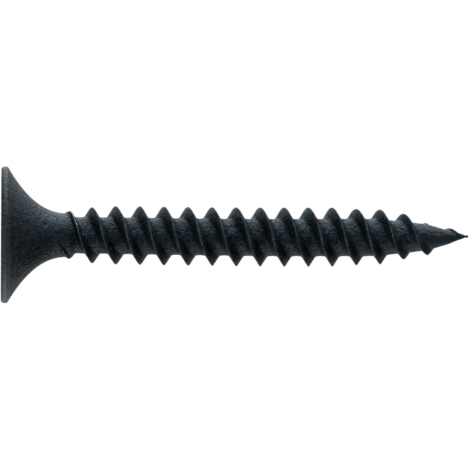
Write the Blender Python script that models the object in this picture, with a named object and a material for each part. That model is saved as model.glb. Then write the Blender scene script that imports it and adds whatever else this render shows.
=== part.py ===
"""Drywall screw, made from one piece of wire: bugle head, cross recess, two-start rolled thread, sharp point.

Sizes are in metres and +Z is up. The screw stands on the flat face of its head with its point up.
The origin is the centre of that face, and the thread is right-handed.
"""

import math

import bmesh
import bpy

MM = 0.001

# Overall size
overall_length = 28.6 * MM
sides = 40  # columns round the axis, a multiple of four

# Bugle head
head_diameter = 8.3 * MM
rim_height = 0.42 * MM  # from the face to where the rim has turned in to the flare
rim_edge_radius = 0.15 * MM
flare_length = 3.7 * MM
flare_power = 2.25  # of the curve that runs out along the neck
neck_diameter = 2.59 * MM  # the wire's own diameter, left between head and thread

# Thread
core_diameter = 2.2 * MM
core_step_length = 0.5 * MM  # over which the neck comes down to the core
thread_diameter = 3.54 * MM
thread_lead = 2.934 * MM
thread_starts = 2
thread_overlap = 0.2 * MM  # the ridges begin this far down the foot of the flare
first_crest_height = 0.154 * MM  # the first ridge's crest on -X, above where the ridges begin
flank_angle = math.radians(28.5)  # each flank, from the plane across the axis
root_radius = 0.29 * MM
fillet_share = 0.7  # of a low ridge's height, the most that its root fillets take up
least_section = 0.2 * MM  # a ridge lower than this keeps the breadth that it has at this height
run_in_length = 2.0 * MM  # to the thread's full height
swell_power = 0.55  # how fast a ridge rises from nothing

# Point
point_length = 6.1 * MM  # where the core and the crests begin to draw in
cone_length = 2.3 * MM
cone_diameter = 1.42 * MM
point_bulge = 0.05 * MM  # how far both stretches of the point stand out from straight cones
nib_length = 0.36 * MM  # the fine spur that the pointing dies leave
nib_diameter = 0.13 * MM
thread_end_gap = 1.2 * MM  # from the last of the first ridge to the tip
thread_end_step = 1.3 * MM  # each further ridge stops this much sooner

# Cross recess, size 2
recess_diameter = 4.7 * MM
recess_depth = 2.4 * MM
recess_tip_depth = 0.35 * MM
recess_tip_share = 0.28  # size of the floor's middle against the recess at its floor
wing_width = 1.15 * MM
wing_slope = math.radians(26.5)  # of a wing's outer end, from the axis
wing_draft = math.radians(2.5)  # of a wing's sides, from the axis
web_corner_reach = 0.98 * MM  # where the corner between two wings is cut back to, at the face
cutter_overrun = 0.3 * MM  # how far the cutter stands out of the face

# Facets of the round stretches
edge_steps = 3
flare_steps = 12
fillet_steps = 2
wing_end_steps = 2
merge_distance = 0.0005 * MM
row_snap = 0.05 * MM  # a row this near an end of the threaded length lies on that end

# Heights that follow from the sizes above
flare_end = rim_height + flare_length
thread_bottom = flare_end - thread_overlap
thread_top = overall_length - nib_length
point_start = overall_length - point_length
cone_start = overall_length - cone_length
thread_pitch = thread_lead / thread_starts
thread_height = (thread_diameter - core_diameter) / 2


def clear_scene():
    """Removes whatever the open file holds."""
    for scene_object in list(bpy.data.objects):
        bpy.data.objects.remove(scene_object, do_unlink=True)


def make_steel():
    """The black phosphated steel of the whole screw."""
    material = bpy.data.materials.new("black_phosphated_steel")
    material.use_nodes = True
    shader = material.node_tree.nodes["Principled BSDF"]
    shader.inputs["Base Color"].default_value = (0.03, 0.036, 0.041, 1.0)
    shader.inputs["Roughness"].default_value = 0.5
    shader.inputs["Metallic"].default_value = 0.6
    return material


def ease(share):
    """A smooth step from 0 to 1."""
    share = min(max(share, 0.0), 1.0)
    return share * share * (3 - 2 * share)


def between(start, end, share):
    """The value at this share of the way from start to end."""
    return start + (end - start) * share


def flare_angle():
    """How steeply the flare leaves the rim, from the axis."""
    return math.atan(flare_power * (head_diameter - neck_diameter) / 2 / flare_length)


def head_outline():
    """(height, radius) points from the face, round the rim and down the flare to the thread."""
    edge_centre = head_diameter / 2 - rim_edge_radius
    outline = []
    for step in range(edge_steps + 1):
        turn = math.pi / 2 * step / edge_steps
        outline.append(
            (
                rim_edge_radius * (1 - math.cos(turn)),
                edge_centre + rim_edge_radius * math.sin(turn),
            )
        )
    turn_in = rim_edge_radius * math.sin(flare_angle())
    for step in range(edge_steps):
        turn = flare_angle() * step / edge_steps
        outline.append(
            (
                rim_height - turn_in + rim_edge_radius * math.sin(turn),
                edge_centre + rim_edge_radius * math.cos(turn),
            )
        )
    for step in range(flare_steps + 1):
        height = between(rim_height, thread_bottom, step / flare_steps)
        outline.append((height, body_radius(height)))
    return outline


def body_radius(height):
    """Radius of the body under the thread at a height, from the rim of the head to the nib."""
    neck, core, cone, nib = (
        diameter / 2
        for diameter in (neck_diameter, core_diameter, cone_diameter, nib_diameter)
    )
    if height < flare_end:
        rim = head_diameter / 2 - rim_edge_radius * (1 - math.cos(flare_angle()))
        return neck + (rim - neck) * ((flare_end - height) / flare_length) ** flare_power
    if height < point_start:
        return between(neck, core, ease((height - flare_end) / core_step_length))
    if height < cone_start:
        share = (height - point_start) / (cone_start - point_start)
        return between(core, cone, share) + 4 * point_bulge * share * (1 - share)
    share = (height - cone_start) / (thread_top - cone_start)
    return between(cone, nib, share) + 4 * point_bulge * share * (1 - share)


def ridge_height(crest, start):
    """How far one start's ridge stands above the core where its crest is at this height."""
    last = overall_length - thread_end_gap - thread_end_step * start
    run_in = (crest - thread_bottom) / run_in_length
    run_out = (last - crest) / (last - point_start)
    share = min(run_in, 1.0, run_out)
    return thread_height * max(share, 0.0) ** swell_power


def ridge_section(height):
    """One ridge across the thread: (distance from its crest, share of its height), crest in the middle."""
    height = max(height, least_section)
    flank_turn = math.pi / 2 - flank_angle  # between the flank and the core
    full_fillet = root_radius * math.tan(flank_turn / 2)  # from the sharp root to where the fillet ends
    fillet = min(full_fillet, fillet_share * height / math.cos(flank_angle))
    radius = fillet / math.tan(flank_turn / 2)
    right = []
    for step in range(fillet_steps + 1):
        turn = flank_turn * (1 - step / fillet_steps)
        distance = height * math.tan(flank_angle) + fillet - radius * math.sin(turn)
        right.append((distance, radius * (1 - math.cos(turn)) / height))
    left = [(-distance, share) for distance, share in reversed(right)]
    return left + [(0.0, 1.0)] + right


def thread_column(turn, first, last):
    """(height, radius) of every row of the thread at this share of a turn from -X."""
    rows = []
    for index in range(first, last + 1):
        crest = thread_bottom + first_crest_height + thread_pitch * index + thread_lead * turn
        ridge = ridge_height(crest, index % thread_starts)
        for distance, share in ridge_section(ridge):
            height = crest + distance
            if height < thread_bottom + row_snap:
                rows.append((thread_bottom, body_radius(thread_bottom)))
            elif height > thread_top - row_snap:
                rows.append((thread_top, body_radius(thread_top)))
            else:
                rows.append((height, body_radius(height) + ridge * share))
    return rows


def add_point(mesh, column, height, radius):
    """A vertex on one of the columns round the axis, which are counted from -X."""
    angle = math.pi + 2 * math.pi * column / sides
    return mesh.verts.new((radius * math.cos(angle), radius * math.sin(angle), height))


def add_turned(mesh, outline):
    """Rings round the axis through an outline's points, joined by faces. Returns the rings."""
    rings = [
        [add_point(mesh, column, height, radius) for column in range(sides)]
        for height, radius in outline
    ]
    for lower, upper in zip(rings, rings[1:]):
        for column in range(sides):
            beside = (column + 1) % sides
            mesh.faces.new((lower[column], lower[beside], upper[beside], upper[column]))
    return rings


def add_thread(mesh):
    """The threaded length: rows that climb with the lead, flattened on to the planes at both ends."""
    first = -thread_starts - 2
    last = math.ceil((thread_top - thread_bottom) / thread_pitch) + 1
    columns = [
        [
            add_point(mesh, column, height, radius)
            for height, radius in thread_column(column / sides, first, last)
        ]
        for column in range(sides)
    ]
    rows_in_lead = thread_starts * len(ridge_section(thread_height))
    for column in range(sides):
        here, beside = columns[column], columns[(column + 1) % sides]
        climbed = rows_in_lead if column == sides - 1 else 0
        for row in range(len(here) - 1 - climbed):
            mesh.faces.new(
                (
                    here[row],
                    beside[row + climbed],
                    beside[row + climbed + 1],
                    here[row + 1],
                )
            )


def make_blank(material):
    """The screw before its recess is punched."""
    mesh = bmesh.new()
    head_rings = add_turned(mesh, head_outline())
    mesh.faces.new(reversed(head_rings[0]))
    add_thread(mesh)
    nib_rings = add_turned(
        mesh,
        [
            (thread_top, nib_diameter / 2),
            (between(thread_top, overall_length, 0.8), nib_diameter * 0.4),
            (overall_length, nib_diameter * 0.2),
        ],
    )
    mesh.faces.new(nib_rings[-1])
    bmesh.ops.remove_doubles(mesh, verts=mesh.verts, dist=merge_distance)
    data = bpy.data.meshes.new("screw")
    mesh.to_mesh(data)
    mesh.free()
    data.shade_smooth()
    data.set_sharp_from_angle(angle=math.radians(25))
    data.materials.append(material)
    screw = bpy.data.objects.new("screw", data)
    bpy.context.collection.objects.link(screw)
    return screw


def recess_section(depth):
    """Outline of the cross at a depth below the head's face, four wings with cut-back corners between."""
    reach = recess_diameter / 2 - depth * math.tan(wing_slope)
    half_width = wing_width / 2 - depth * math.tan(wing_draft)
    corner = web_corner_reach * reach / (recess_diameter / 2)
    corner = max(corner, half_width * 1.1)
    end_turn = math.asin(half_width / reach)
    wing = [(corner, -half_width)]
    for step in range(wing_end_steps + 1):
        turn = between(-end_turn, end_turn, step / wing_end_steps)
        wing.append((reach * math.cos(turn), reach * math.sin(turn)))
    wing.append((corner, half_width))
    outline = []
    for quarter in range(4):
        cosine, sine = math.cos(quarter * math.pi / 2), math.sin(quarter * math.pi / 2)
        outline += [(x * cosine - y * sine, x * sine + y * cosine) for x, y in wing]
    return outline


def make_recess_cutter():
    """The punch that forms the recess: a tapering cross with a shallow pointed floor."""
    mesh = bmesh.new()
    floor = [(x * recess_tip_share, y * recess_tip_share) for x, y in recess_section(recess_depth)]
    levels = [
        (-cutter_overrun, recess_section(-cutter_overrun)),
        (recess_depth, recess_section(recess_depth)),
        (recess_depth + recess_tip_depth, floor),
    ]
    rings = [[mesh.verts.new((x, y, height)) for x, y in outline] for height, outline in levels]
    for lower, upper in zip(rings, rings[1:]):
        for index in range(len(lower)):
            beside = (index + 1) % len(lower)
            mesh.faces.new((lower[index], lower[beside], upper[beside], upper[index]))
    mesh.faces.new(reversed(rings[0]))
    mesh.faces.new(rings[-1])
    data = bpy.data.meshes.new("recess_cutter")
    mesh.to_mesh(data)
    mesh.free()
    cutter = bpy.data.objects.new("recess_cutter", data)
    cutter.hide_render = True
    cutter.display_type = "WIRE"
    bpy.context.collection.objects.link(cutter)
    return cutter


def main():
    """Builds the screw and punches its recess."""
    clear_scene()
    screw = make_blank(make_steel())
    cutter = make_recess_cutter()
    cut = screw.modifiers.new("recess", "BOOLEAN")
    cut.operation = "DIFFERENCE"
    cut.solver = "EXACT"
    cut.object = cutter


main()
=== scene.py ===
"""A black drywall screw, dressed for its portrait.

The screw stands on the flat face of its head with its point up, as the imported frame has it. One mesh stands
for the whole screw, since the real one is a single piece of wire. Its head is turned from an outline, its
two-start thread is rolled by a Geometry Nodes tree, and its cross recess is punched by a Boolean. The camera
lies on its side, so that the picture shows the head on the left and the point on the right.

Lengths are in metres, and MM turns millimetres into metres.
"""

from __future__ import annotations

import logging
import math
from collections.abc import Callable
from dataclasses import dataclass, field, fields
from enum import Enum
from types import SimpleNamespace
from typing import TypeAlias

import bmesh
import bpy
from bmesh.types import BMesh, BMVert
from bpy.types import Material, Mesh, Node, NodeSocket, NodeTree, Object, World
from mathutils import Matrix, Vector


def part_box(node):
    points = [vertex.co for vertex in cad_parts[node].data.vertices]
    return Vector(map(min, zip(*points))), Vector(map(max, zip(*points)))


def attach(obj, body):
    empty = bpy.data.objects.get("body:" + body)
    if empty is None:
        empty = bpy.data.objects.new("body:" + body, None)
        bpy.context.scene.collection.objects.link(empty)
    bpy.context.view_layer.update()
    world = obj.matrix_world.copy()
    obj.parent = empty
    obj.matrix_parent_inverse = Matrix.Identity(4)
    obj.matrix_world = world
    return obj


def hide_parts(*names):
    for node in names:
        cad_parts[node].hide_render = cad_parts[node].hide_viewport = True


MM = 0.001
NODE = "screw"
WELD_DISTANCE = 0.0004 * MM
LEAST_REACH = 0.01 * MM
WHITE = (1.0, 1.0, 1.0, 1.0)

Colour = tuple[float, float, float, float]
Number: TypeAlias = "Field | float"
Ring = list[BMVert]

log = logging.getLogger("drywall_screw")
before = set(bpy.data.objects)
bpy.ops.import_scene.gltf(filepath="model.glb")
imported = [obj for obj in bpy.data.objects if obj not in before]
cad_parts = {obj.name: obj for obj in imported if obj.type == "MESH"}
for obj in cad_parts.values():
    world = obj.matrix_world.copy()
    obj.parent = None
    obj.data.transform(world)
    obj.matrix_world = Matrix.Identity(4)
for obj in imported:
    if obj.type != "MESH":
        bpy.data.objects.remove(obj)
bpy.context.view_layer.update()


def math_method(kind: str, swapped: bool = False) -> Callable[..., Field]:
    """Makes a Field method that adds a Math node, swapped where the field is the second operand."""

    def method(self: Field, *others: Number) -> Field:
        """The result as a new field."""
        operands = (*others, self) if swapped else (self, *others)
        return self.graph.math(kind, *operands)

    return method


class Field:
    """A value that changes over a surface: a node socket with Python's arithmetic.

    Among its operations, below gives 1 where this is less than the other and 0 elsewhere, least and most give
    the smaller and the larger of two, whole rounds to the nearest whole number, and remainder is never
    negative. Angles are in radians.
    """

    def __init__(self, graph: Graph, socket: NodeSocket) -> None:
        """Wraps an output of a node in a graph."""
        self.graph = graph
        self.socket = socket

    __add__ = math_method("ADD")
    __radd__ = math_method("ADD", swapped=True)
    __sub__ = math_method("SUBTRACT")
    __rsub__ = math_method("SUBTRACT", swapped=True)
    __mul__ = math_method("MULTIPLY")
    __rmul__ = math_method("MULTIPLY", swapped=True)
    __truediv__ = math_method("DIVIDE")
    __pow__ = math_method("POWER")
    __abs__ = math_method("ABSOLUTE")
    below = math_method("LESS_THAN")
    least = math_method("MINIMUM")
    most = math_method("MAXIMUM")
    remainder = math_method("FLOORED_MODULO")
    whole = math_method("ROUND")
    root = math_method("SQRT")
    sine = math_method("SINE")
    cosine = math_method("COSINE")
    tangent = math_method("TANGENT")

    def within_one(self) -> Field:
        """This value held between 0 and 1."""
        return self.most(0.0).least(1.0)

    def ease(self) -> Field:
        """A smooth step from 0 to 1 as this goes from 0 to 1."""
        share = self.within_one()
        return share * share * (3.0 - share * 2.0)

    def climb(self, start: Number, length: Number) -> Field:
        """A smooth step from 0 to 1 over a length from a start."""
        return ((self - start) / length).ease()

    def fall(self, end: Number, length: Number) -> Field:
        """A smooth step from 1 to 0 over the length before an end."""
        return ((end - self) / length).ease()


@dataclass(frozen=True)
class Noise:
    """A pattern of blotches: their rough size, the number and strength of finer layers, and a seed."""

    grain: float
    detail: float
    roughness: float
    seed: float = 0.0


@dataclass(frozen=True)
class Spots:
    """Round spots: the distance between places, a radius as a share of it, and the share of places used."""

    spacing: float
    radius: float
    share: float
    softness: float = 0.6


class Graph:
    """Adds nodes to one node tree."""

    def __init__(self, tree: NodeTree) -> None:
        """Starts on a shader or geometry node tree."""
        self.tree = tree

    def node(self, kind: str, **settings: object) -> Node:
        """Adds a node of a kind and sets its properties."""
        node = self.tree.nodes.new(kind)
        for name, value in settings.items():
            setattr(node, name, value)
        return node

    def put(self, socket: NodeSocket, value: object) -> None:
        """Links a field, an output or a node's first output to an input, or sets a plain value on it."""
        if isinstance(value, Field):
            value = value.socket
        elif isinstance(value, Node):
            value = value.outputs[0]
        if isinstance(value, NodeSocket):
            self.tree.links.new(value, socket)
        else:
            socket.default_value = value

    def fill(self, node: Node, **inputs: object) -> Node:
        """Gives a node's inputs their values by name, with underscores for spaces."""
        for name, value in inputs.items():
            self.put(node.inputs[name.replace("_", " ")], value)
        return node

    def read(self, node: Node, output: str) -> Field:
        """A node's output as a field."""
        return Field(self, node.outputs[output])

    def place(self) -> NodeSocket:
        """The place on the object, in metres."""
        return self.node("ShaderNodeTexCoord").outputs["Object"]

    def join(self, kind: str, *values: object, **settings: object) -> Node:
        """Adds a node and gives its inputs their values in order."""
        node = self.node(kind, **settings)
        for socket, value in zip(node.inputs, values):
            self.put(socket, value)
        return node

    def math(self, operation: str, *values: Number) -> Field:
        """Adds a Math node and reads its result."""
        return Field(self, self.join("ShaderNodeMath", *values, operation=operation).outputs[0])

    def vector(self, x: Number, y: Number, z: Number) -> Node:
        """Joins three values to one vector."""
        return self.join("ShaderNodeCombineXYZ", x, y, z)

    def axes(self, vector: NodeSocket | Node) -> tuple[Field, ...]:
        """Splits a vector into its three values."""
        return tuple(Field(self, output) for output in self.join("ShaderNodeSeparateXYZ", vector).outputs)

    def noise(self, place: NodeSocket | Node, pattern: Noise, seed: Number = 0.0) -> Field:
        """Adds seeded noise.

        Args:
            place: Where to read it.
            pattern: Its blotches.
            seed: What to add to the pattern's own seed.

        Returns:
            The noise, from 0 to 1 and mostly near 0.5.
        """
        node = self.node("ShaderNodeTexNoise", noise_dimensions="4D")
        self.fill(node, Vector=place, W=seed + pattern.seed, Scale=1.0 / pattern.grain)
        self.fill(node, Detail=pattern.detail, Roughness=pattern.roughness)
        return Field(self, node.outputs[0])

    def spots(self, place: NodeSocket, pattern: Spots) -> Field:
        """Adds scattered spots.

        Args:
            place: Where to read them.
            pattern: Their spacing and size.

        Returns:
            1 in a spot, fading to 0 at its edge.
        """
        node = self.node("ShaderNodeTexVoronoi", voronoi_dimensions="3D", feature="F1")
        self.fill(node, Vector=place, Scale=1.0 / pattern.spacing)
        chance = self.axes(node.outputs["Color"])[0]
        spot = self.read(node, "Distance").fall(pattern.radius, pattern.radius * pattern.softness)
        return spot * chance.below(pattern.share)

    def blend(self, share: Number, first: object, second: object) -> NodeSocket:
        """Mixes two colours by a share."""
        node = self.node("ShaderNodeMix", data_type="RGBA")
        # The node's sockets for numbers and for colours have the same names, so they are taken by position.
        for position, value in ((0, share), (6, first), (7, second)):
            self.put(node.inputs[position], value)
        return node.outputs[2]


def fresh_graph(owner: Material | World) -> Graph:
    """Empties the node tree of a material or world and starts a graph on it."""
    owner.use_nodes = True
    owner.node_tree.nodes.clear()
    return Graph(owner.node_tree)


def add_object(name: str, data: bpy.types.ID) -> Object:
    """Puts a new object into the scene."""
    item = bpy.data.objects.new(name, data)
    bpy.context.collection.objects.link(item)
    return item


def add_mesh(name: str, mesh: BMesh) -> Object:
    """Puts what has been modelled into the scene as a new object."""
    data = bpy.data.meshes.new(name)
    mesh.to_mesh(data)
    mesh.free()
    return add_object(name, data)


def plain_mesh(piece: Object) -> Mesh:
    """The mesh that a piece's modifiers make, with the modifiers taken off the piece."""
    depsgraph = bpy.context.evaluated_depsgraph_get()
    data = bpy.data.meshes.new_from_object(piece.evaluated_get(depsgraph), depsgraph=depsgraph)
    piece.modifiers.clear()
    return data


def turn_rings(
    mesh: BMesh, outline: list[tuple[float, float]], columns: int, shift: float = 0.0
) -> list[Ring]:
    """Adds a ring of points for each point of an outline.

    Args:
        mesh: The mesh to add to.
        outline: (height, radius) points.
        columns: Points in each ring, counted from -X.
        shift: How far the rings' middle lies along X.

    Returns:
        The rings.
    """
    turns = [math.pi + math.tau * column / columns for column in range(columns)]
    return [
        [mesh.verts.new((radius * math.cos(t) + shift, radius * math.sin(t), height)) for t in turns]
        for height, radius in outline
    ]


def skin_rings(mesh: BMesh, rings: list[Ring], smooth: bool = True) -> None:
    """Joins each ring to the next with faces."""
    for lower, upper in zip(rings, rings[1:]):
        for index in range(len(lower)):
            beside = (index + 1) % len(lower)
            mesh.faces.new((lower[index], lower[beside], upper[beside], upper[index])).smooth = smooth


def close_ring(mesh: BMesh, ring: Ring, x: float, height: float, smooth: bool = True) -> None:
    """Closes a ring with faces that meet at a pole."""
    pole = mesh.verts.new((x, 0.0, height))
    for index, corner in enumerate(ring):
        mesh.faces.new((corner, ring[(index + 1) % len(ring)], pole)).smooth = smooth


@dataclass
class BugleHead:
    """The head: a flat outer face, a thin rounded rim, and a flare that runs out into the neck."""

    diameter: float
    rim_height: float = 0.438 * MM
    face_radius: float = 0.19 * MM
    edge_radius: float = 0.15 * MM
    flare_length: float = 3.676 * MM
    flare_power: float = 2.256
    neck_diameter: float = 2.65 * MM
    edge_steps: int = 7
    flare_steps: int = 46

    @property
    def flare_end(self) -> float:
        """Height at which the flare has become the neck."""
        return self.rim_height + self.flare_length

    @property
    def flare_angle(self) -> float:
        """How steeply the flare leaves the rim, from the axis."""
        return math.atan(self.flare_power * (self.diameter - self.neck_diameter) / 2 / self.flare_length)

    @property
    def flare_rise(self) -> float:
        """How far the flare's start stands out from the neck."""
        turned_in = self.edge_radius * (1 - math.cos(self.flare_angle))
        return (self.diameter - self.neck_diameter) / 2 - turned_in

    def radius(self, height: float) -> float:
        """Radius of the flare at a height above the face."""
        share = max(self.flare_end - height, 0.0) / self.flare_length
        return self.neck_diameter / 2 + self.flare_rise * share**self.flare_power

    def outline(self, top: float) -> list[tuple[float, float]]:
        """The head's half section.

        Args:
            top: Height at which the thread takes over.

        Returns:
            (height, radius) points from the face, round the rim and down the flare.
        """
        inside = self.diameter / 2 - self.face_radius
        centre = self.diameter / 2 - self.edge_radius
        turned_in = self.edge_radius * math.sin(self.flare_angle)
        points = []
        for step in range(self.edge_steps + 1):
            turn = math.pi / 2 * step / self.edge_steps
            height = self.face_radius * (1 - math.cos(turn))
            points.append((height, inside + self.face_radius * math.sin(turn)))
        for step in range(self.edge_steps):
            turn = self.flare_angle * step / self.edge_steps
            height = self.rim_height - turned_in + self.edge_radius * math.sin(turn)
            points.append((height, centre + self.edge_radius * math.cos(turn)))
        for step in range(self.flare_steps + 1):
            height = self.rim_height + (top - self.rim_height) * step / self.flare_steps
            points.append((height, self.radius(height)))
        return points

    def build(self, mesh: BMesh, top: float, columns: int) -> None:
        """Turns the outline round the axis, up to the height at which the thread takes over."""
        rings = turn_rings(mesh, self.outline(top), columns)
        skin_rings(mesh, rings)
        mesh.faces.new(reversed(rings[0]))


def socket_label(name: str) -> str:
    """The label of a node tree's input for a size."""
    return name.replace("_", " ").title()


def fed(default: float) -> float:
    """A size that is fed to the node tree as it stands, through an input of its name."""
    return field(default=default, metadata={"fed": True})


class Sizes(SimpleNamespace):
    """A node tree's inputs, each a Field under its size's name."""


@dataclass
class RolledThread:
    """The threaded length with its core and point, which a node tree rolls up from a flat sheet."""

    head: BugleHead
    tip: float
    overlap: float = 0.85 * MM
    starts: int = fed(2)
    lead: float = fed(2.944 * MM)
    first_crest: float = 0.768 * MM
    drunkenness: float = fed(0.02 * MM)
    side_drunkenness: float = fed(0.075 * MM)
    third_drunkenness: float = fed(-0.025 * MM)
    fourth_drunkenness: float = fed(0.0125 * MM)
    ridge_height: float = fed(0.664 * MM)
    eccentricity: float = fed(0.04)
    core_diameter: float = 2.197 * MM
    core_growth: float = fed(0.0025)
    core_step: float = fed(0.5 * MM)
    flank_angle: float = fed(math.radians(28.0))
    root_softness: float = fed(0.164 * MM)
    crest_softness: float = fed(0.004 * MM)
    fading_softness: float = fed(0.18 * MM)
    run_in_delay: float = 0.65 * MM
    run_in_lag: float = fed(0.1 * MM)
    run_in: float = fed(1.91 * MM)
    run_in_power: float = fed(0.55)
    run_in_shift: float = fed(0.17 * MM)
    run_in_softness: float = fed(0.5 * MM)
    run_in_softness_power: float = 2.2
    lower_flank_onset: float = 3.0
    lower_flank_firmness: float = 0.6
    lip_height: float = fed(0.19)
    lip_length: float = fed(0.45 * MM)
    point_length: float = 6.2 * MM
    cone_length: float = 2.48 * MM
    cone_diameter: float = 1.5684 * MM
    point_bulge: float = fed(0.04 * MM)
    cone_bulge: float = fed(0.015 * MM)
    nib_length: float = 0.3 * MM
    nib_root_diameter: float = 0.2464 * MM
    nib_shoulder: float = 0.06 * MM
    nib_diameter: float = 0.155 * MM
    nib_rounding: float = 0.035 * MM
    nib_taper: float = 0.92
    nib_steps: int = 5
    tip_bend: float = fed(0.06 * MM)
    tip_bend_reach: float = 1.4 * MM
    tip_bend_length: float = fed(0.9 * MM)
    run_out_end: float = 0.33 * MM
    run_out_step: float = fed(2.83 * MM)
    run_out_power: float = fed(0.9)
    run_out_power_step: float = fed(0.35)
    last_height: float = fed(0.87)
    last_lead: float = 2.4 * MM
    last_easing: float = fed(1.2 * MM)
    bow: float = fed(0.071 * MM)
    crest_unevenness: float = fed(0.035)
    crest_swell: Noise = Noise(1.6 * MM, 2.0, 0.6)
    crest_wander: float = fed(0.03 * MM)
    crest_drift: Noise = Noise(2.2 * MM, 1.0, 0.5, seed=7.0)
    land_unevenness: float = fed(0.013 * MM)
    land_dents: Noise = Noise(0.42 * MM, 3.0, 0.6, seed=13.0)
    land_start: float = 0.34
    land_easing: float = 0.16
    bottom_easing: float = 0.3 * MM
    top_easing: float = 1.2 * MM
    end_power: float = 0.2
    end_snap: float = 0.02 * MM
    crest_band: float = fed(0.038 * MM)
    crest_mark_onset: float = 4.0
    crest_mark_reach: float = 1.15
    # How the shade painted on the flanks grows from the root, eases off near the crest and fades out on the
    # point.
    flank_onset: float = 5.0
    flank_release: float = 0.85
    flank_least_fade: float = 0.4
    flank_fade_rate: float = 2.2
    columns: int = 176
    rows_per_ridge: int = 24
    crowding: float = fed(0.62)
    seed: float = fed(4.0)

    @property
    def bottom(self) -> float:
        """Height at which the ridges begin, on the foot of the flare."""
        return self.head.flare_end - self.overlap

    @property
    def top(self) -> float:
        """Height at which the point has become the fine nib."""
        return self.tip - self.nib_length

    def inputs(self) -> dict[str, float]:
        """The node tree's named inputs with this screw's sizes."""
        plain = {item.name: getattr(self, item.name) for item in fields(self) if "fed" in item.metadata}
        flare = ("flare_end", "flare_length", "flare_rise", "flare_power")
        return plain | {name: getattr(self.head, name) for name in flare} | {
            "bottom": self.bottom,
            "top": self.top,
            "first_crest": self.bottom + self.first_crest,
            "run_in_start": self.bottom + self.run_in_delay,
            "run_out_end": self.tip + self.run_out_end,
            "last_start": self.tip - self.point_length - self.last_lead,
            "neck_radius": self.head.neck_diameter / 2,
            "core_radius": self.core_diameter / 2,
            "point_start": self.tip - self.point_length,
            "cone_start": self.tip - self.cone_length,
            "cone_radius": self.cone_diameter / 2,
            "tip_bend_start": self.tip - self.tip_bend_reach,
            "nib_root_radius": self.nib_root_diameter / 2,
        }

    def body_radius(self, height: Field, size: Sizes) -> Field:
        """The body under the ridges: the flare's foot, the neck, the core and the point.

        Args:
            height: Height above the face.
            size: The tree's named inputs.

        Returns:
            The radius.
        """
        flare = ((size.flare_end - height) / size.flare_length).most(0.0)
        step = height.climb(size.flare_end, size.core_step)
        taper = (height - size.point_start) / (size.cone_start - size.point_start)
        cone = (height - size.cone_start) / (size.top - size.cone_start)
        radius = size.neck_radius + size.flare_rise * flare ** size.flare_power
        grown = (height.least(size.point_start) - size.flare_end).most(0.0) * size.core_growth
        core = size.core_radius + grown
        radius = radius - (size.neck_radius - size.core_radius) * step + grown
        for share, drop, bulge in (
            (taper.within_one(), core - size.cone_radius, size.point_bulge),
            (cone.within_one(), size.cone_radius - size.nib_root_radius, size.cone_bulge),
        ):
            # The bulge is a parabola that is highest halfway along.
            radius = radius - drop * share + bulge * 4.0 * share * (1.0 - share)
        return radius

    def fading(self, crest: Field, start: Field, size: Sizes) -> tuple[Field, Field]:
        """How the ridges grow out of the neck and die out on the point.

        Args:
            crest: Height of the nearest crest.
            start: Which of the thread's starts that crest belongs to, counted from 0.
            size: The tree's named inputs.

        Returns:
            How much of its height the ridge has gained, and how much it has kept, each 0 to 1.
        """
        begun = crest - size.run_in_start - size.run_in_lag * start
        run_in = (begun / size.run_in).within_one() ** size.run_in_power
        lip = crest.climb(size.bottom, size.lip_length) * size.lip_height
        last = size.run_out_end - size.run_out_step * start
        run_out = ((last - crest) / (last - size.point_start)).within_one()
        fade = run_out ** (size.run_out_power - size.run_out_power_step * start)
        lowered = crest.climb(size.last_start, size.last_easing) * (1.0 - size.last_height)
        return run_in.most(lip), fade.least(1.0 - lowered)

    def section(self, distance: Field, ridge: Field, run_in: Field, fade: Field, size: Sizes) -> Field:
        """The ridge's cross section: straight flanks with a rounded crest and filleted roots.

        Args:
            distance: Distance from the crest along the axis, less than 0 on the head's side.
            ridge: Height of the crest above the body.
            run_in: How much of its height the ridge has gained.
            fade: How much of its height the ridge has kept.
            size: The tree's named inputs.

        Returns:
            How far the surface stands out from the body.
        """
        softness = size.crest_softness + size.fading_softness * (1.0 - fade)
        firm = distance.below(0.0) * (run_in * self.lower_flank_onset).within_one()
        firm = firm * self.lower_flank_firmness
        unformed = (1.0 - run_in) ** self.run_in_softness_power
        softness = softness + size.run_in_softness * unformed * (1.0 - firm)
        rounded = (distance * distance + softness * softness).root() - softness
        rise = ridge - rounded / size.flank_angle.tangent()
        fillet = size.root_softness * run_in.least(fade)
        return (rise + (rise * rise + fillet * fillet).root()) * 0.5

    def tree(self, material: Material) -> NodeTree:
        """Builds the node tree that rolls the thread.

        The sheet's X is the share of a turn and its Y counts rows, which climb with the lead, so that every
        crest lies on a row. Rows past either end fall on to that end's ring, and welding closes the ends and
        the seam.

        Args:
            material: The finish that the tree sets.

        Returns:
            The tree, whose only output is the mesh.
        """
        tree = bpy.data.node_groups.new("rolled_thread", "GeometryNodeTree")
        tree.is_modifier = True
        tree.interface.new_socket("Mesh", in_out="OUTPUT", socket_type="NodeSocketGeometry")
        for name in self.inputs():
            tree.interface.new_socket(socket_label(name), in_out="INPUT", socket_type="NodeSocketFloat")
        graph = Graph(tree)
        entry = graph.node("NodeGroupInput")
        size = Sizes(**{name: graph.read(entry, socket_label(name)) for name in self.inputs()})
        pitch = size.lead / size.starts

        spare = self.starts + 1
        ridges = spare + math.ceil((self.top - self.bottom) * self.starts / self.lead) + 1
        rows = ridges * self.rows_per_ridge
        sheet = graph.node("GeometryNodeMeshGrid")
        graph.fill(sheet, Size_X=1.0, Size_Y=float(ridges), Vertices_X=self.columns + 1, Vertices_Y=rows + 1)
        across, along, _ = graph.axes(graph.node("GeometryNodeInputPosition"))
        turn = across + 0.5
        count = along + (ridges / 2 - spare)

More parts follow.
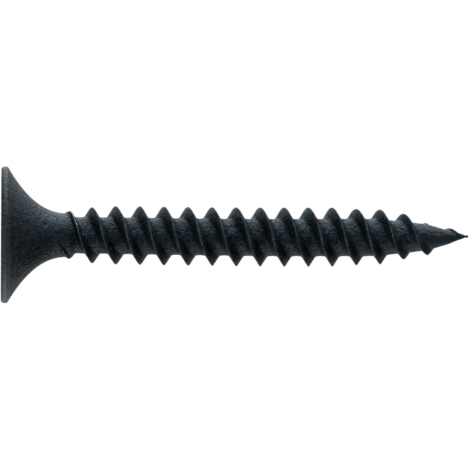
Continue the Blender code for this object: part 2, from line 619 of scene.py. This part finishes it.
        index = count.whole()
        offset = count - index
        crowded = offset - size.crowding * (offset * math.tau).sine() / math.tau
        distance = crowded * pitch
        drift = (turn * math.tau).cosine() * size.drunkenness
        for waves, swing in (
            (1.0, size.side_drunkenness),
            (3.0, size.third_drunkenness),
            (4.0, size.fourth_drunkenness),
        ):
            drift = drift + (turn * waves * math.tau).sine() * swing
        crest = size.first_crest + index * pitch + turn * size.lead - drift
        start = index.remainder(size.starts)
        run_in, fade = self.fading(crest, start, size)
        fullness = run_in.least(fade)

        angle = turn * math.tau + math.pi
        cosine, sine = angle.cosine(), angle.sine()
        reach = size.core_radius + size.ridge_height
        crest_point = graph.vector(cosine * reach, sine * reach, crest)
        swell = graph.noise(crest_point, self.crest_swell, size.seed) - 0.5
        wander = graph.noise(crest_point, self.crest_drift, size.seed) - 0.5
        ridge = size.ridge_height * fullness * (1.0 + swell * 2.0 * size.crest_unevenness)
        ridge = ridge * (1.0 + (turn * math.tau).cosine() * size.eccentricity)
        away = abs(distance) / pitch
        raised = self.section(distance, ridge, run_in, fade, size)
        raised = raised * (1.0 - away.climb(self.land_start, self.land_easing))

        shift = wander * 2.0 * size.crest_wander * fullness + size.run_in_shift * (1.0 - run_in)
        height = crest + distance + shift * (1.0 - away * 2.0)
        height = height + (size.bottom - height) * height.below(size.bottom + self.end_snap)
        height = height + (size.top - height) * (size.top - self.end_snap).below(height)
        from_top = (size.top - height) / self.top_easing
        inside = ((height - size.bottom) / self.bottom_easing).least(from_top).ease()
        body = self.body_radius(height, size)
        place = graph.vector(cosine * body, sine * body, height)
        dents = graph.noise(place, self.land_dents, size.seed) - 0.5
        radius = body + raised * inside.most(0.0) ** self.end_power
        radius = radius + dents * 2.0 * size.land_unevenness * inside
        along_shank = ((height - size.bottom) / (size.top - size.bottom)).within_one()
        bend = (1.0 - (along_shank * math.tau).cosine()) * 0.5 * size.bow
        bend = bend - height.climb(size.tip_bend_start, size.tip_bend_length) * size.tip_bend

        # The crest attribute: a thin line along each crest, where the material puts rubbed steel that also
        # serves as a painted highlight.
        band = distance / size.crest_band
        whole = (run_in * self.crest_mark_onset).least(fade * self.crest_mark_reach).within_one()
        mark = whole / (1.0 + band * band)
        # Where shade is painted: over the flanks from root to crest, less on the crest line, fading out where
        # the ridges die on the point.
        share = (raised / size.ridge_height).within_one()
        flank = (share * self.flank_onset).within_one() * (1.0 - share * share * self.flank_release)
        flank = flank * (1.0 - mark)
        flank = flank * ((fade - self.flank_least_fade) * self.flank_fade_rate).within_one()

        geometry = sheet
        for kind, inputs in (
            ("StoreNamedAttribute", {"Name": "crest", "Value": mark}),
            ("StoreNamedAttribute", {"Name": "flank", "Value": flank}),
            ("SetPosition", {"Position": graph.vector(cosine * radius + bend, sine * radius, height)}),
            ("MergeByDistance", {"Distance": WELD_DISTANCE}),
            ("SetShadeSmooth", {}),
            ("RealizeInstances", {}),
            ("SetMaterial", {"Material": material}),
        ):
            geometry = graph.fill(graph.node(f"GeometryNode{kind}"), Geometry=geometry, **inputs)
        graph.join("NodeGroupOutput", geometry)
        return tree

    def build(self, mesh: BMesh, material: Material) -> None:
        """Rolls the thread in its finish and adds it, with the nib, to a mesh."""
        holder = add_object("thread_sheet", bpy.data.meshes.new("thread_sheet"))
        tree = self.tree(material)
        modifier = holder.modifiers.new("roll", "NODES")
        modifier.node_group = tree
        sockets = {item.name: item.identifier for item in tree.interface.items_tree if item.in_out == "INPUT"}
        for name, value in self.inputs().items():
            modifier[sockets[socket_label(name)]] = float(value)
        mesh.from_mesh(plain_mesh(holder))
        bpy.data.objects.remove(holder, do_unlink=True)
        self.build_nib(mesh)

    def build_nib(self, mesh: BMesh) -> None:
        """Adds the fine spur at the tip, a slim rod with a shoulder at its root and a rounded end."""
        radius = self.nib_diameter / 2
        outline = [(self.top, self.nib_root_diameter / 2), (self.top + self.nib_shoulder, radius)]
        for step in range(self.nib_steps):
            turn = math.pi / 2 * step / self.nib_steps
            height = self.tip - self.nib_rounding * (1 - math.sin(turn))
            outline.append((height, radius * self.nib_taper * math.cos(turn)))
        rings = turn_rings(mesh, outline, self.columns, -self.tip_bend)
        skin_rings(mesh, rings)
        close_ring(mesh, rings[-1], -self.tip_bend, self.tip)


@dataclass
class CrossRecess:
    """The size 2 cross recess: four tapering wings, cut-back corners and a shallow pointed floor."""

    diameter: float = 4.7 * MM
    depth: float = 2.4 * MM
    tip_depth: float = 0.35 * MM
    wing_width: float = 1.15 * MM
    wing_slope: float = math.radians(26.5)
    wing_draft: float = math.radians(2.5)
    corner_reach: float = 0.98 * MM
    corner_margin: float = 1.1
    mouth_round: float = 0.05 * MM
    end_steps: int = 6
    mouth_steps: int = 4
    overrun: float = 0.3 * MM

    def section(self, depth: float, widening: float = 0.0) -> list[tuple[float, float]]:
        """Outline of the cross at a depth.

        Args:
            depth: Distance in from the head's face.
            widening: How far the outline stands outside the plain tapering cross.

        Returns:
            (x, y) points, anticlockwise.
        """
        reach = self.diameter / 2 - depth * math.tan(self.wing_slope) + widening
        half_width = self.wing_width / 2 - depth * math.tan(self.wing_draft) + widening
        corner = max(self.corner_reach * reach / (self.diameter / 2), half_width * self.corner_margin)
        spread = math.asin(half_width / reach)
        wing = [(corner, -half_width)]
        for step in range(self.end_steps + 1):
            turn = spread * (2 * step / self.end_steps - 1)
            wing.append((reach * math.cos(turn), reach * math.sin(turn)))
        wing.append((corner, half_width))
        points = []
        for quarter in range(4):
            cosine, sine = math.cos(quarter * math.pi / 2), math.sin(quarter * math.pi / 2)
            points += [(x * cosine - y * sine, x * sine + y * cosine) for x, y in wing]
        return points

    def build_punch(self) -> Object:
        """Makes the punch, a closed solid that stands out of the head's face."""
        levels = [(-self.overrun, self.section(0.0, self.mouth_round))]
        for step in range(self.mouth_steps + 1):
            turn = math.pi / 2 * step / self.mouth_steps
            depth = self.mouth_round * math.sin(turn)
            levels.append((depth, self.section(depth, self.mouth_round * (1 - math.sin(turn)))))
        levels.append((self.depth, self.section(self.depth)))
        mesh = bmesh.new()
        rings = [[mesh.verts.new((x, y, height)) for x, y in points] for height, points in levels]
        skin_rings(mesh, rings, smooth=False)
        mesh.faces.new(reversed(rings[0]))
        close_ring(mesh, rings[-1], 0.0, self.depth + self.tip_depth, smooth=False)
        return add_mesh("recess_punch", mesh)

    def cut(self, piece: Object) -> None:
        """Punches the recess into a piece and leaves it a plain mesh."""
        punch = self.build_punch()
        modifier = piece.modifiers.new("recess", "BOOLEAN")
        modifier.operation = "DIFFERENCE"
        modifier.solver = "EXACT"
        modifier.object = punch
        piece.data = plain_mesh(piece)
        bpy.data.objects.remove(punch, do_unlink=True)


@dataclass(frozen=True)
class GrainGroup:
    """Shader group: the speckle of a phosphate coat, from crystals up to soft clouds, and its pits."""

    crystal: Noise = Noise(0.065 * MM, 1.0, 0.6, seed=1.0)
    cluster: Noise = Noise(0.14 * MM, 1.0, 0.6, seed=2.0)
    mottle: Noise = Noise(0.36 * MM, 1.0, 0.6, seed=3.0)
    cloud: Noise = Noise(1.2 * MM, 3.0, 0.6, seed=4.0)
    pits: Spots = Spots(0.55 * MM, radius=0.2, share=0.45)
    pit_relief: float = 0.8
    crystal_relief: float = 0.5
    mottle_relief: float = 1.2

    def build(self) -> NodeTree:
        """Makes the group, with a strength for each size of grain and a Tone that lies round 0."""
        strengths = ("Crystal", "Cluster", "Mottle", "Cloud")
        results = ("Tone", "Relief", "Speckle", "Pits")
        tree, graph, size = new_shader_group("phosphate_grain", strengths, results)
        place = graph.place()
        patterns = (self.crystal, self.cluster, self.mottle, self.cloud)
        crystal, cluster, mottle, cloud = (graph.noise(place, pattern) - 0.5 for pattern in patterns)
        pits = graph.spots(place, self.pits)
        speckle = crystal * size["Crystal"] + cluster * size["Cluster"]
        tone = speckle + mottle * size["Mottle"] + cloud * size["Cloud"]
        relief = crystal * self.crystal_relief + cluster + mottle * self.mottle_relief
        relief = relief - pits * self.pit_relief
        graph.join("NodeGroupOutput", tone, relief, speckle, pits)
        return tree


@dataclass(frozen=True)
class WearAndHighlightGroup:
    """Shader group: where handling has rubbed the coat thin, in odd specks and in broken crest lines, which
    also stand for painted highlights on the crests.
    """

    edge_start: float = 0.42
    edge_width: float = 0.4
    patch: Noise = Noise(0.8 * MM, 2.0, 0.6, seed=31.0)
    patch_contrast: float = 8.0
    scratch: Noise = Noise(0.09 * MM, 2.0, 0.7, seed=32.0)
    scratch_start: float = 0.4
    scratch_contrast: float = 3.0
    scratch_share: float = 0.6
    faint_least: float = 0.1
    faint_start: float = 0.42
    faint_contrast: float = 2.4
    faint_share: float = 0.5
    flecks: Spots = Spots(0.75 * MM, radius=0.11, share=0.14)
    fleck_strength: float = 0.6

    def build(self) -> NodeTree:
        """Makes the group, whose Edge is 1 on a crest line and whose Mask is 1 where the steel is bare."""
        tree, graph, size = new_shader_group("crest_wear", ("Edge", "Amount"), ("Mask",))
        place = graph.place()
        patch = graph.noise(place, self.patch)
        scratch = graph.noise(place, self.scratch)
        edge = ((size["Edge"] - self.edge_start) / self.edge_width).within_one()
        scratched = ((scratch - self.scratch_start) * self.scratch_contrast).within_one()
        rubbed = ((patch - 0.5) * self.patch_contrast).within_one()
        rubbed = rubbed * (1.0 - self.scratch_share + scratched * self.scratch_share)
        # Every crest line gets at least a faint line of bare steel, which is as much a painted highlight as
        # wear.
        grazed = ((scratch - self.faint_start) * self.faint_contrast).within_one()
        faint = self.faint_least + grazed * self.faint_share
        flecks = graph.spots(place, self.flecks)
        mask = (edge * (faint + rubbed)).most(flecks * self.fleck_strength) * size["Amount"]
        graph.join("NodeGroupOutput", mask.within_one())
        return tree


@dataclass(frozen=True)
class StreakGroup:
    """Shader group: fine lines along the axis, left by drawing the wire and forging the head."""

    length: float = 1.1 * MM
    lines: Noise = Noise(0.1, 3.0, 0.6, seed=5.0)

    def build(self) -> NodeTree:
        """Makes the group, whose pattern lies round the axis at a radius of 1."""
        tree, graph, _ = new_shader_group("drawn_streaks", (), ("Streaks",))
        x, y, z = graph.axes(graph.place())
        reach = (x * x + y * y).root().most(LEAST_REACH)
        place = graph.vector(x / reach, y / reach, z * (self.lines.grain / self.length))
        graph.join("NodeGroupOutput", graph.noise(place, self.lines))
        return tree


def new_shader_group(
    name: str, inputs: tuple[str, ...], outputs: tuple[str, ...]
) -> tuple[NodeTree, Graph, dict[str, Field]]:
    """Starts a shader group with named number sockets.

    Args:
        name: The group's name.
        inputs: Its inputs.
        outputs: Its outputs, in the order that its results are joined to them.

    Returns:
        The tree, a graph on it, and its inputs as fields.
    """
    tree = bpy.data.node_groups.new(name, "ShaderNodeTree")
    for direction, labels in (("INPUT", inputs), ("OUTPUT", outputs)):
        for label in labels:
            tree.interface.new_socket(label, in_out=direction, socket_type="NodeSocketFloat")
    graph = Graph(tree)
    entry = graph.node("NodeGroupInput")
    return tree, graph, {label: graph.read(entry, label) for label in inputs}


@dataclass(frozen=True)
class PhosphatedSteel:
    """The finish: bluish-black phosphate on steel, matte, with painted shade on the flanks, painted light on
    some sides, and rubbed steel on the crests that also serves as a painted highlight.
    """

    deep: Colour = (0.0008, 0.0019, 0.0027, 1.0)
    pale: Colour = (0.0225, 0.0305, 0.039, 1.0)
    # The near-black colour of the shade painted on the flanks.
    sheltered: Colour = (0.0004, 0.0008, 0.0012, 1.0)
    bare: Colour = (0.27, 0.31, 0.33, 1.0)
    tint: Colour = (0.48, 0.8, 1.0, 1.0)
    base_tone: float = 0.42
    roughness: float = 0.5
    gloss_spread: float = 0.15
    bare_metal: float = 0.8
    specular: float = 0.37
    sheen: float = 0.035
    sheen_roughness: float = 0.25
    sheen_tint: Colour = (0.35, 0.7, 1.0, 1.0)
    wear: float = 0.9
    # How strongly shade is painted on the flanks, and how far it dulls their gloss by making them a dark
    # metal.
    shelter: float = 0.85
    shelter_dullness: float = 0.54
    streaks: float = 1.1
    rim_height: float = 0.8 * MM
    rim_fall: float = 0.55 * MM
    rim_radius: float = 3.65 * MM
    rim_rise: float = 0.3 * MM
    # The rim's painted light, strongest on its +X side: its share on the -X side, how much paler it makes the
    # rim, and how much bare steel it shows, which is partly wear.
    rim_least: float = 0.1
    rim_pallor: float = 0.6
    rim_wear: float = 0.32
    head_start: float = 0.5 * MM
    head_rise: float = 0.4 * MM
    head_end: float = 4.7 * MM
    head_fall: float = 0.5 * MM
    # How strongly a highlight is painted on the -X side of the flare and neck.
    head_pallor: float = 0.7
    rolled_start: float = 4.4 * MM
    rolled_end: float = 5.4 * MM
    rolled_contrast: float = 1.6
    rolled_pallor: float = 0.26
    # Where and how strongly light is painted on the rolled shank's +X side.
    rolled_side_start: float = 0.55
    rolled_side_rise: float = 0.35
    rolled_side_pallor: float = 0.4
    point_start: float = 23.2 * MM
    point_end: float = 25.6 * MM
    point_evenness: float = 0.85
    point_pallor: float = 0.12
    crystal: float = 2.2
    cluster: float = 1.8
    mottle: float = 1.2
    cloud: float = 0.9
    bump_distance: float = 0.08 * MM
    bump_strength: float = 1.0
    relief: float = 0.75
    rolled_relief: float = 0.85
    streak_relief: float = 0.3

    def zones(self, graph: Graph) -> tuple[Field, ...]:
        """Parts of the screw that are coloured apart, some for their history and some for painted light.

        Returns:
            The rim, strongest on its +X side, for painted light and some wear, the -X side of the flare and
            neck, for a painted highlight, the rolled shank, the shank's +X side, for painted light, and the
            point. Each is 0 elsewhere and at most 1.
        """
        x, y, z = graph.axes(graph.place())
        reach = (x * x + y * y).root()
        side = 0.5 + x / reach.most(LEAST_REACH) * 0.5
        rim = z.fall(self.rim_height, self.rim_fall) * reach.climb(self.rim_radius, self.rim_rise)
        head = z.climb(self.head_start, self.head_rise) * z.fall(self.head_end, self.head_fall)
        rolled = z.climb(self.rolled_start, self.rolled_end - self.rolled_start)
        point = z.climb(self.point_start, self.point_end - self.point_start)
        return (
            # The rim, weighted for light painted on its +X side.
            rim * (self.rim_least + side * side * (1.0 - self.rim_least)),
            # The flare and neck, weighted for a highlight painted on their -X side.
            head * (1.0 - side) ** 2.0,
            rolled,
            # The rolled shank's +X side, for painted light.
            rolled * side.climb(self.rolled_side_start, self.rolled_side_rise),
            point,
        )

    def material(self) -> Material:
        """Makes the material, which reads Object coordinates and the mesh's attributes for the crest line and
        for the shade painted on the flanks.
        """
        material = bpy.data.materials.new("phosphated_steel")
        graph = fresh_graph(material)
        grain = graph.node("ShaderNodeGroup", node_tree=GrainGroup().build())
        graph.fill(grain, Crystal=self.crystal, Cluster=self.cluster, Mottle=self.mottle, Cloud=self.cloud)
        streaks = graph.node("ShaderNodeGroup", node_tree=StreakGroup().build())
        marks = (graph.node("ShaderNodeAttribute", attribute_name=name) for name in ("crest", "flank"))
        crest, flank = (graph.read(mark, "Fac") for mark in marks)
        # Rubbed steel on the crest lines and in specks, which on the crests also paints their highlights.
        wear = graph.node("ShaderNodeGroup", node_tree=WearAndHighlightGroup().build())
        graph.fill(wear, Edge=crest, Amount=self.wear)

        speckle = graph.read(grain, "Speckle")
        lines = graph.read(streaks, "Streaks") - 0.5
        rim, head_painted_highlight, rolled, rolled_lit_side, point = self.zones(graph)
        grainy = rolled * (1.0 - point * self.point_evenness)
        # Bare steel: on the crests partly wear and partly a painted highlight, on the rim partly wear and
        # partly painted light.
        worn_and_lit = graph.read(wear, "Mask").most(rim * self.rim_wear)
        tone = self.base_tone + graph.read(grain, "Tone") * (1.0 + grainy * self.rolled_contrast)
        # The rim, the flare and neck, and the shank's +X side are made paler as painted light; the streaks,
        # the rolled shank and the point are paler in their own colour.
        for zone, share in (
            (lines, self.streaks),
            (rolled, self.rolled_pallor),
            (point, self.point_pallor),
            (rim, self.rim_pallor),
            (head_painted_highlight, self.head_pallor),
            (rolled_lit_side, self.rolled_side_pallor),
        ):
            tone = tone + zone * share
        tone = tone.within_one() * (1.0 - graph.read(grain, "Pits"))
        coat = graph.blend(tone, self.deep, self.pale)
        # Painted shade: the flanks are darkened towards a near-black colour.
        coat = graph.blend(flank * self.shelter, coat, self.sheltered)
        relief = graph.read(grain, "Relief") * (self.relief + grainy * self.rolled_relief)
        relief = relief + lines * self.streak_relief
        bump = graph.node("ShaderNodeBump")
        graph.fill(bump, Height=relief, Strength=self.bump_strength, Distance=self.bump_distance)

        shader = graph.node("ShaderNodeBsdfPrincipled")
        graph.fill(
            shader,
            Base_Color=graph.blend(worn_and_lit, coat, self.bare),
            Roughness=self.roughness - speckle * self.gloss_spread - worn_and_lit * self.gloss_spread,
            # Besides bare steel, the flanks' painted shade is made a dark metal, so that they reflect little.
            Metallic=(worn_and_lit * self.bare_metal).most(flank * (1.0 - worn_and_lit) * self.shelter_dullness),
            Normal=bump,
            Specular_IOR_Level=self.specular,
            Specular_Tint=self.tint,
            Sheen_Weight=self.sheen,
            Sheen_Roughness=self.sheen_roughness,
            Sheen_Tint=self.sheen_tint,
        )
        graph.join("ShaderNodeOutputMaterial", shader)
        return material


@dataclass
class DrywallScrew:
    """The whole screw, as one closed mesh."""

    head: BugleHead
    thread: RolledThread
    recess: CrossRecess
    finish: PhosphatedSteel
    sharp_angle: float = math.radians(32)

    def build(self) -> Object:
        """Makes the screw's object, at the origin, with its finish."""
        material = self.finish.material()
        mesh = bmesh.new()
        self.thread.build(mesh, material)
        self.head.build(mesh, self.thread.bottom, self.thread.columns)
        bmesh.ops.remove_doubles(mesh, verts=mesh.verts, dist=WELD_DISTANCE)
        bmesh.ops.recalc_face_normals(mesh, faces=mesh.faces)
        loose = sum(1 for edge in mesh.edges if not edge.is_manifold)
        if loose:
            log.warning("the blank has %d open edges", loose)
        piece = add_mesh("drywall_screw", mesh)
        self.recess.cut(piece)
        piece.data.name = "drywall_screw"
        piece.data.materials.clear()
        piece.data.materials.append(material)
        piece.data.set_sharp_from_angle(angle=self.sharp_angle)
        return piece


class LampSide(Enum):
    """Where a softbox stands, in degrees round the screw from the camera, with the picture's top at -90."""

    UPPER_BACK = -132.0
    UPPER = -82.0
    HIGH = -100.0
    LOWER = 104.0
    FRONT_LOW = 26.0
    BACK = 180.0


@dataclass(frozen=True)
class Softbox:
    """A large soft lamp that points at the middle of the screw."""

    name: str
    side: LampSide
    elevation: float
    power: float
    distance: float = 220 * MM
    width: float = 160 * MM
    length: float = 160 * MM

    def build(self, target: Vector) -> None:
        """Makes the lamp and points it at a target."""
        data = bpy.data.lights.new(self.name, "AREA")
        data.shape = "RECTANGLE"
        data.size, data.size_y = self.width, self.length
        data.energy = self.power
        lamp = add_object(self.name, data)
        turn, lift = math.radians(self.side.value), math.radians(self.elevation)
        back = Vector((math.sin(turn) * math.cos(lift), -math.cos(turn) * math.cos(lift), math.sin(lift)))
        lamp.location = target + back * self.distance
        lamp.rotation_euler = back.to_track_quat("Z", "Y").to_euler()
        lamp.visible_camera = False


@dataclass(frozen=True)
class Studio:
    """The plain pale floor, the white surround and the soft lamps."""

    floor_sides: int = 96
    floor_drop: float = 0.002 * MM
    floor_radius: float = 200 * MM
    floor_solid: float = 90 * MM
    floor_colour: Colour = (0.8, 0.8, 0.8, 1.0)
    floor_white: float = 0.3
    backdrop_edge: float = 0.6
    backdrop_softness: float = 0.25
    fill_above: float = 0.3
    fill_below: float = 0.2
    gloss_share: float = 0.08
    backdrop_share: float = 0.7
    horizon_softness: float = 0.3
    lamps: tuple[Softbox, ...] = (
        Softbox("upper_back_softbox", LampSide.UPPER_BACK, 0.0, 0.18, width=140 * MM),
        Softbox("upper_softbox", LampSide.UPPER, 0.0, 0.43),
        Softbox("high_softbox", LampSide.HIGH, 28.0, 0.2, width=100 * MM),
        Softbox("lower_softbox", LampSide.LOWER, 0.0, 0.19),
        Softbox("front_low_softbox", LampSide.FRONT_LOW, -35.0, 0.12),
        Softbox("back_softbox", LampSide.BACK, -32.0, 0.05, width=100 * MM),
    )

    def build(self, target: Vector) -> None:
        """Sets up the floor, the world and the lamps, which look at a target."""
        self.build_floor()
        self.build_surround()
        for lamp in self.lamps:
            lamp.build(target)

    def build_floor(self) -> None:
        """Makes the floor, a disc that fades into the surround and is clear from below."""
        mesh = bmesh.new()
        bmesh.ops.create_circle(mesh, cap_ends=True, segments=self.floor_sides, radius=self.floor_radius)
        floor = add_mesh("floor", mesh)
        floor.location.z = -self.floor_drop
        floor.visible_diffuse = floor.visible_glossy = floor.visible_shadow = False
        floor.data.materials.append(self.floor_material())

    def floor_material(self) -> Material:
        """The floor's pale matte paint, clear towards the disc's edge and where it is seen from below."""
        material = bpy.data.materials.new("floor_paint")
        graph = fresh_graph(material)
        paint = graph.fill(graph.node("ShaderNodeBsdfDiffuse"), Color=self.floor_colour)
        glow = graph.fill(graph.node("ShaderNodeEmission"), Color=WHITE, Strength=self.floor_white)
        pale = graph.join("ShaderNodeAddShader", paint, glow)
        clear = graph.node("ShaderNodeBsdfTransparent")
        x, y, _ = graph.axes(graph.place())
        faded = (x * x + y * y).root().climb(self.floor_solid, self.floor_radius - self.floor_solid)
        below = graph.read(graph.node("ShaderNodeNewGeometry"), "Backfacing")
        side = graph.join("ShaderNodeMixShader", below.most(faded), pale, clear)
        graph.join("ShaderNodeOutputMaterial", side)
        return material

    def build_surround(self) -> None:
        """Makes the world.

        It is white where the camera looks at it, and where gloss shows the backdrop behind the screw.
        Elsewhere it is a dim fill, weaker from below.
        """
        world = bpy.data.worlds.new("surround")
        bpy.context.scene.world = world
        graph = fresh_graph(world)
        path = graph.node("ShaderNodeLightPath")
        _, depth, height = graph.axes(graph.node("ShaderNodeTexCoord").outputs["Generated"])
        backdrop = depth.climb(self.backdrop_edge, self.backdrop_softness)
        glossy = graph.read(path, "Is Glossy Ray")
        seen = graph.read(path, "Is Camera Ray").most(graph.read(path, "Is Transmission Ray"))
        above = height.climb(-self.horizon_softness, 2 * self.horizon_softness)
        fill = self.fill_below + (self.fill_above - self.fill_below) * above
        fill = fill * (1.0 - glossy * (1.0 - self.gloss_share))
        white = seen.most(glossy * backdrop * self.backdrop_share)
        background = graph.node("ShaderNodeBackground")
        graph.fill(background, Color=WHITE, Strength=fill + (1.0 - fill) * white)
        graph.join("ShaderNodeOutputWorld", background)


@dataclass(frozen=True)
class PhotoCamera:
    """The photograph's view: level with the head's face, looking across the screw, lying on its side."""

    frame_width: float = 28.702 * MM
    distance: float = 220 * MM
    height: float = -0.4 * MM
    aim_height: float = 14.263 * MM
    aim_across: float = -0.072 * MM
    roll: float = math.radians(0.33)
    sensor: float = 36.0
    clip_start: float = 1 * MM
    clip_end: float = 5000 * MM

    def build(self) -> None:
        """Makes the camera and gives it to the scene."""
        data = bpy.data.cameras.new("photo_camera")
        data.sensor_width = self.sensor
        place = Vector((self.aim_across, -self.distance, self.height))
        aim = Vector((self.aim_across, 0.0, self.aim_height))
        back = (place - aim).normalized()
        data.lens = self.sensor * (place - aim).length / self.frame_width
        data.clip_start, data.clip_end = self.clip_start, self.clip_end
        right = (Vector((0.0, 0.0, 1.0)) - back * back.z).normalized()
        up = back.cross(right)
        camera = add_object("photo_camera", data)
        turned = Matrix((right, up, back)).transposed() @ Matrix.Rotation(self.roll, 3, "Z")
        camera.matrix_world = Matrix.Translation(place) @ turned.to_4x4()
        bpy.context.scene.camera = camera


def main() -> None:
    """Builds the screw and its studio, and reports each piece."""
    logging.basicConfig(level=logging.INFO, format="%(name)s: %(message)s")
    low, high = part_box(NODE)
    bpy.context.scene.view_settings.view_transform = "Standard"
    PhotoCamera().build()
    head = BugleHead(diameter=high.x - low.x)
    screw = DrywallScrew(head, RolledThread(head, tip=high.z), CrossRecess(), PhosphatedSteel())
    piece = screw.build()
    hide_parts(NODE)
    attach(piece, "root")
    log.info("%s: %d faces", piece.name, len(piece.data.polygons))
    Studio().build((low + high) / 2)


if __name__ == "__main__":
    main()
